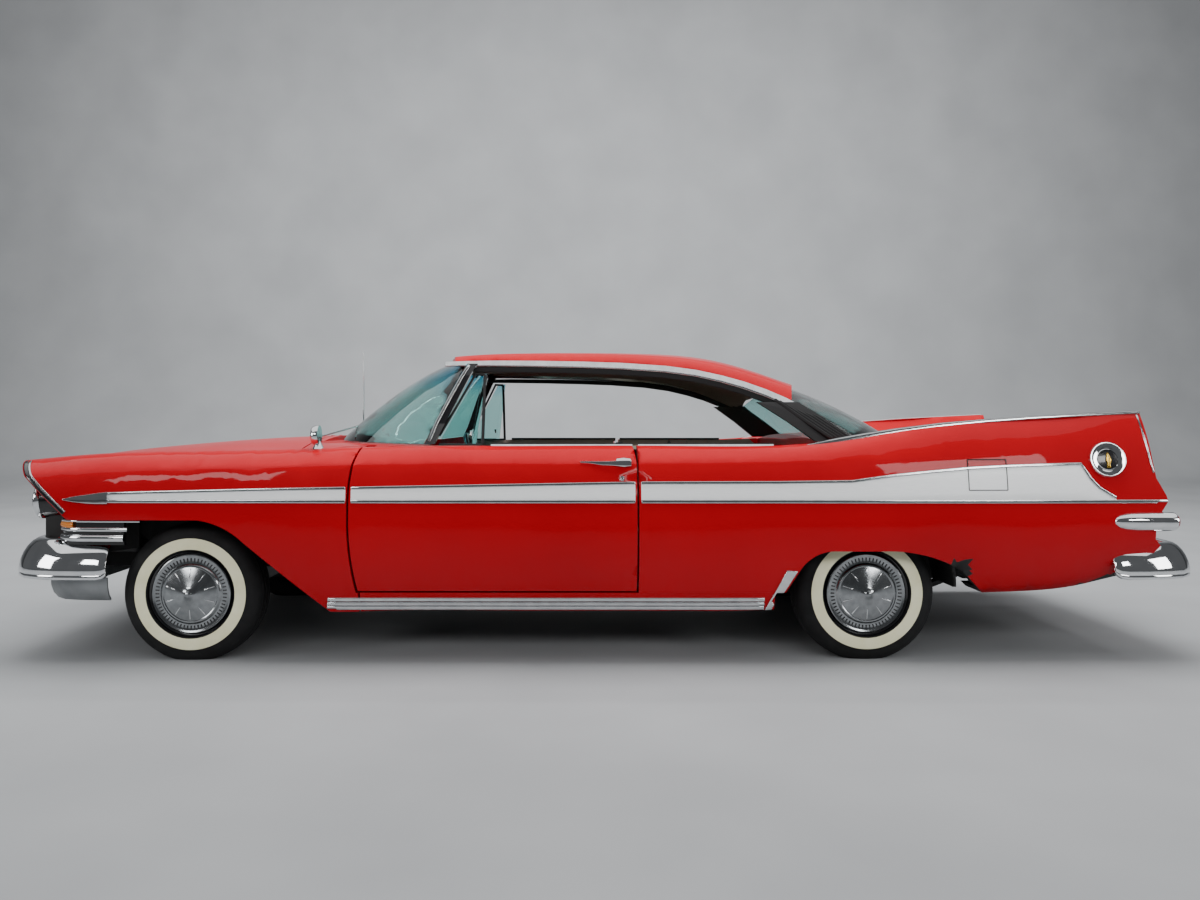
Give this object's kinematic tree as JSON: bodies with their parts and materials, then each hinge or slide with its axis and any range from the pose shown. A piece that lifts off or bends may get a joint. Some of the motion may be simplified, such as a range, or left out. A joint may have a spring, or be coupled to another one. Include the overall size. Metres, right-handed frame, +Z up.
{
  "type": "two-door hardtop car with tail fins",
  "caption": "Late 1950s hardtop coupe with tail fins, rolling wheels, steering, and hinged doors, hood and trunk lid.",
  "frame": {"origin": "on the ground under the middle of the car's box", "axes": "+X to the tail, +Y to the passenger side, +Z up"},
  "size_m": [5.3363, 1.9616, 1.4979],
  "materials": {
    "red_enamel": "gloss",
    "black_trim": "satin",
    "tinted_glass": "clear",
    "lamp_glass": "clear",
    "chrome_plate": "polished",
    "black_steel": "matt",
    "grey_iron": "cast",
    "exhaust_steel": "dull",
    "seat_vinyl": "grained",
    "black_plastic": "gloss",
    "tyre_rubber": "matt"
  },
  "bodies": {
    "body": {"front_fender_left": "red_enamel", "front_fender_right": "red_enamel", "quarter_panel_left": "red_enamel", "quarter_panel_right": "red_enamel", "rockers": "red_enamel", "cowl": "red_enamel", "rear_deck": "red_enamel", "tail_panel": "red_enamel", "roof": "red_enamel", "windshield_frame": "black_trim", "windshield": "tinted_glass", "backlight": "tinted_glass", "lamp_lenses": "lamp_glass", "front_bumper": "chrome_plate", "rear_bumper": "chrome_plate", "grille": "chrome_plate", "lower_bands": "chrome_plate", "lamp_pods": "chrome_plate", "tail_lamps": "chrome_plate", "fender_mirror": "chrome_plate", "antenna": "chrome_plate", "floor_pan": "black_steel", "frame_rails": "black_steel", "front_suspension": "black_steel", "rear_axle": "black_steel", "fuel_tank": "black_steel", "radiator": "black_steel", "engine_block": "grey_iron", "exhaust": "exhaust_steel", "front_seat": "seat_vinyl", "rear_seat": "seat_vinyl", "dashboard": "black_plastic", "steering_wheel": "black_plastic"},
    "door_left": {"door_left": "red_enamel", "vent_window_left": "tinted_glass"},
    "door_right": {"door_right": "red_enamel", "vent_window_right": "tinted_glass"},
    "hood": {"hood": "red_enamel"},
    "trunk_lid": {"trunk_lid": "red_enamel"},
    "steering_left": {"knuckle_left": "black_steel"},
    "steering_right": {"knuckle_right": "black_steel"},
    "front_wheel_left": {"tyre_front_left": "tyre_rubber", "wheel_front_left": "chrome_plate"},
    "front_wheel_right": {"tyre_front_right": "tyre_rubber", "wheel_front_right": "chrome_plate"},
    "rear_wheel_left": {"tyre_rear_left": "tyre_rubber", "wheel_rear_left": "chrome_plate"},
    "rear_wheel_right": {"tyre_rear_right": "tyre_rubber", "wheel_rear_right": "chrome_plate"}
  },
  "joints": [
    {"name": "door_left_hinge", "type": "hinge", "parent": "body", "child": "door_left", "pos_m": [-1.04, -0.955, 0.64], "axis": [0, 0, -1], "range_deg": [0, 65]},
    {"name": "door_right_hinge", "type": "hinge", "parent": "body", "child": "door_right", "pos_m": [-1.04, 0.955, 0.64], "axis": [0, 0, 1], "range_deg": [0, 65]},
    {"name": "hood_hinge", "type": "hinge", "parent": "body", "child": "hood", "pos_m": [-1.388, 0, 1.00063], "axis": [0, 1, 0], "range_deg": [0, 48]},
    {"name": "trunk_hinge", "type": "hinge", "parent": "body", "child": "trunk_lid", "pos_m": [1.478, 0, 1.0235], "axis": [0, -1, 0], "range_deg": [0, 60]},
    {"name": "steer_left", "type": "hinge", "parent": "body", "child": "steering_left", "pos_m": [-1.827, -0.69, 0.311], "axis": [0, 0, 1], "range_deg": [-30, 30]},
    {"name": "steer_right", "type": "hinge", "parent": "body", "child": "steering_right", "pos_m": [-1.827, 0.69, 0.311], "axis": [0, 0, 1], "range_deg": [-30, 30]},
    {"name": "front_left_spin", "type": "hinge", "parent": "steering_left", "child": "front_wheel_left", "pos_m": [-1.827, -0.7735, 0.311], "axis": [0, 1, 0], "continuous": true},
    {"name": "front_right_spin", "type": "hinge", "parent": "steering_right", "child": "front_wheel_right", "pos_m": [-1.827, 0.7735, 0.311], "axis": [0, 1, 0], "continuous": true},
    {"name": "rear_left_spin", "type": "hinge", "parent": "body", "child": "rear_wheel_left", "pos_m": [1.17, -0.757, 0.311], "axis": [0, 1, 0], "continuous": true},
    {"name": "rear_right_spin", "type": "hinge", "parent": "body", "child": "rear_wheel_right", "pos_m": [1.17, 0.757, 0.311], "axis": [0, 1, 0], "continuous": true}
  ],
  "couplings": [
    {"joint": "steer_right", "follows": "steer_left", "ratio": 1}
  ]
}
